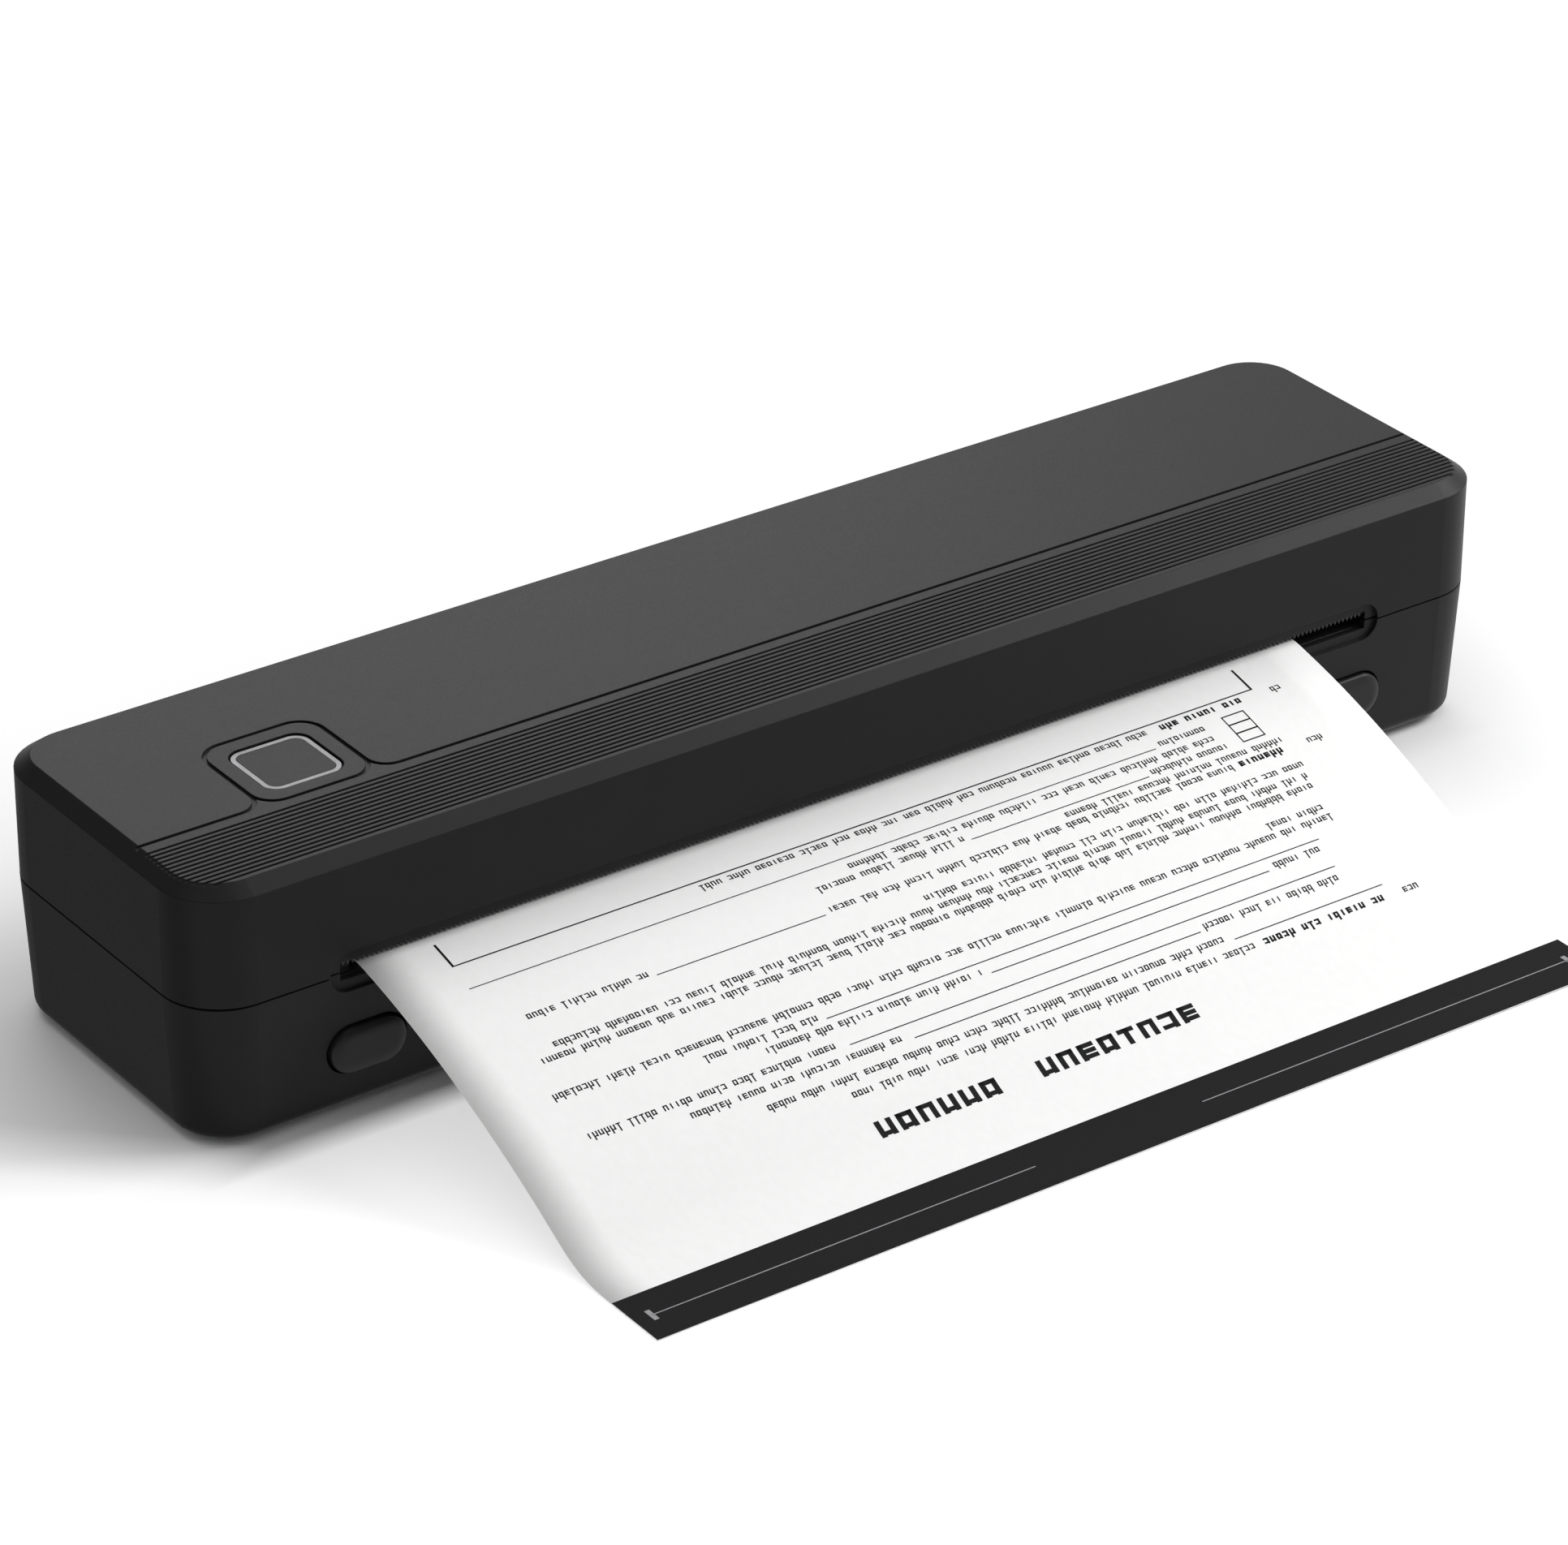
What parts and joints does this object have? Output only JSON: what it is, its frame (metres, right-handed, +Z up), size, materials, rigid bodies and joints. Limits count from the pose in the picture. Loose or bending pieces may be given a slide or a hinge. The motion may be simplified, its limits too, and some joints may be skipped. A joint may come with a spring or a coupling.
{
  "type": "portable thermal printer",
  "caption": "Slim battery-powered A4 thermal printer with a rear-hinged cover, front paper slot with a tear edge, power button and oval cover-release buttons.",
  "frame": {"origin": "on the desk, under the centre of the case's footprint", "axes": "+X along the paper's width, from the power button's end to the gear end; -Y is the front, where the paper comes out; +Z up"},
  "size_m": [0.29, 0.1597, 0.052],
  "materials": {
    "case_black": "fine moulded texture, near black",
    "cover_grey": "fine moulded texture, dark grey",
    "inner_plastic": "smooth moulded black",
    "screw_steel": "zinc plated",
    "foot_rubber": "matt",
    "plate_steel": "zinc coated sheet",
    "shaft_steel": "ground",
    "roller_rubber": "ground silicone rubber, satin",
    "gear_plastic": "natural acetal",
    "motor_steel": "plated can",
    "pinion_brass": "cut brass",
    "cell_sleeve": "shrink sleeve",
    "board_laminate": "solder resist",
    "chip_black": "moulded",
    "socket_metal": "plated",
    "spring_wire": "drawn wire",
    "thermal_paper": "coated, printed with plain rules and bars",
    "tear_bar_black": "blackened",
    "head_ceramic": "glazed strip",
    "head_aluminium": "extruded",
    "ring_silver": "satin plated ring"
  },
  "bodies": {
    "base": {"base_shell": "case_black", "base_screws": "screw_steel", "rubber_feet": "foot_rubber", "left_side_plate": "plate_steel", "right_side_plate": "plate_steel", "roller_deck": "inner_plastic", "front_guide": "inner_plastic", "roller_bushes": "gear_plastic", "gear_stud": "shaft_steel", "motor": "motor_steel", "battery_pack": "cell_sleeve", "main_board": "board_laminate", "board_chips": "chip_black", "board_screws": "screw_steel", "usb_socket": "socket_metal", "paper_sensor": "chip_black", "latch_pins": "shaft_steel", "latch_spring_left": "spring_wire", "latch_spring_right": "spring_wire", "hinge_pins": "shaft_steel"},
    "roller": {"roller_shaft": "shaft_steel", "roller_rubber": "roller_rubber", "roller_gear": "gear_plastic"},
    "compound": {"compound_gear": "gear_plastic"},
    "motor_rotor": {"motor_shaft": "shaft_steel", "motor_pinion": "pinion_brass"},
    "release_left": {"release_button_left": "case_black"},
    "release_right": {"release_button_right": "case_black"},
    "latch_left": {"latch_lever_left": "gear_plastic"},
    "latch_right": {"latch_lever_right": "gear_plastic"},
    "paper": {"paper_sheet": "thermal_paper"},
    "cover": {"cover_shell": "cover_grey", "cover_inner_frame": "inner_plastic", "cover_screws": "screw_steel", "striker_pins": "shaft_steel", "tear_bar": "tear_bar_black", "head_pivot_pin": "shaft_steel", "head_springs": "spring_wire", "button_board": "board_laminate", "button_board_screws": "screw_steel", "tact_switch": "chip_black"},
    "head": {"print_head": "head_ceramic", "head_heatsink": "head_aluminium"},
    "power": {"power_button": "cover_grey", "button_ring": "ring_silver"}
  },
  "joints": [
    {"name": "cover_hinge", "type": "hinge", "parent": "base", "child": "cover", "pos_m": [0, 0.031, 0.0301], "axis": [-1, 0, 0], "range_deg": [0, 85]},
    {"name": "power_press", "type": "slide", "parent": "cover", "child": "power", "axis": [0, 0, -1], "range_m": [0, 0.0004], "stiffness_N_per_m": 900, "springref_m": -0.0005},
    {"name": "head_rock", "type": "hinge", "parent": "cover", "child": "head", "pos_m": [0, -0.004, 0.03252], "axis": [-1, 0, 0], "range_deg": [0, 2.5], "stiffness_Nm_per_rad": 0.6, "springref_deg": -11.46, "deforming": ["head_springs"]},
    {"name": "latch_left_swing", "type": "hinge", "parent": "base", "child": "latch_left", "pos_m": [0, -0.026, 0.019], "axis": [1, 0, 0], "range_deg": [0, 14], "stiffness_Nm_per_rad": 0.02, "springref_deg": -5.73, "deforming": ["latch_spring_left"]},
    {"name": "latch_right_swing", "type": "hinge", "parent": "base", "child": "latch_right", "pos_m": [0, -0.026, 0.019], "axis": [1, 0, 0], "range_deg": [0, 14], "stiffness_Nm_per_rad": 0.02, "springref_deg": -5.73, "deforming": ["latch_spring_right"]},
    {"name": "release_left_press", "type": "slide", "parent": "base", "child": "release_left", "axis": [0, 1, 0], "range_m": [0, 0.00149]},
    {"name": "release_right_press", "type": "slide", "parent": "base", "child": "release_right", "axis": [0, 1, 0], "range_m": [0, 0.00149]},
    {"name": "roller_spin", "type": "hinge", "parent": "base", "child": "roller", "pos_m": [0, -0.018, 0.02208], "axis": [1, 0, 0], "continuous": true},
    {"name": "compound_spin", "type": "hinge", "parent": "base", "child": "compound", "pos_m": [0, -0.012, 0.01346], "axis": [1, 0, 0], "continuous": true},
    {"name": "motor_spin", "type": "hinge", "parent": "base", "child": "motor_rotor", "pos_m": [0, 0, 0.01348], "axis": [1, 0, 0], "continuous": true},
    {"name": "paper_feed", "type": "slide", "parent": "base", "child": "paper", "axis": [0, -1, 0], "range_m": [0, 0.02]}
  ],
  "couplings": [
    {"joint": "latch_left_swing", "follows": "release_left_press", "rad_per_m": 163.93},
    {"joint": "latch_right_swing", "follows": "release_right_press", "rad_per_m": 163.93},
    {"joint": "compound_spin", "follows": "roller_spin", "ratio": -2},
    {"joint": "motor_spin", "follows": "roller_spin", "ratio": 6}
  ]
}
